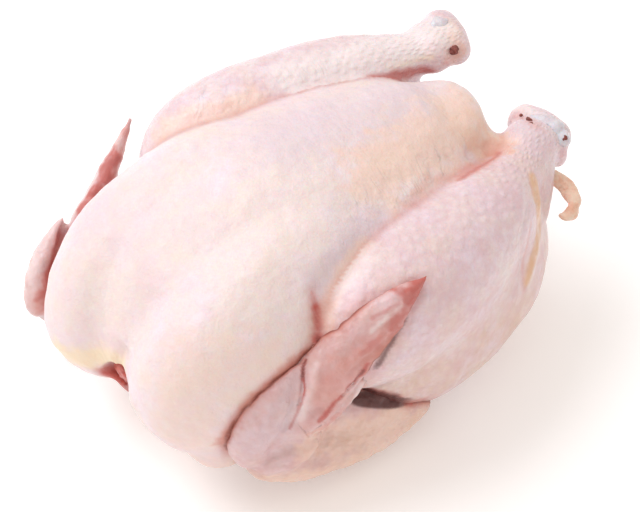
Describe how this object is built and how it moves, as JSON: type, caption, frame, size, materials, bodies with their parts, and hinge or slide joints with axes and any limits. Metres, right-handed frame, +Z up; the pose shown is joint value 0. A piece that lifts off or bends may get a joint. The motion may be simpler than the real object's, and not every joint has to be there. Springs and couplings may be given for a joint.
{
  "type": "whole raw chicken",
  "caption": "Whole raw dressed chicken lying on its back, breast up, legs drawn back and wings folded at its sides, with a neck notch in front and an open body cavity between the legs",
  "frame": {"origin": "middle of the bird's plan, on the surface that its back rests on", "axes": "+X to the bird's right side, +Y from the neck end to the legs and tail, +Z up through the breast"},
  "size_m": [0.1606, 0.2132, 0.113],
  "materials": {
    "skin": "moist pinkish cream skin with pores, fine wrinkles and a thin wet gloss",
    "cartilage": "wet bluish white joint cartilage",
    "flesh": "wet dark red raw flesh",
    "fat": "soft pale yellow fat and loose skin"
  },
  "bodies": {
    "root": {"chicken": "skin"}
  },
  "joints": []
}
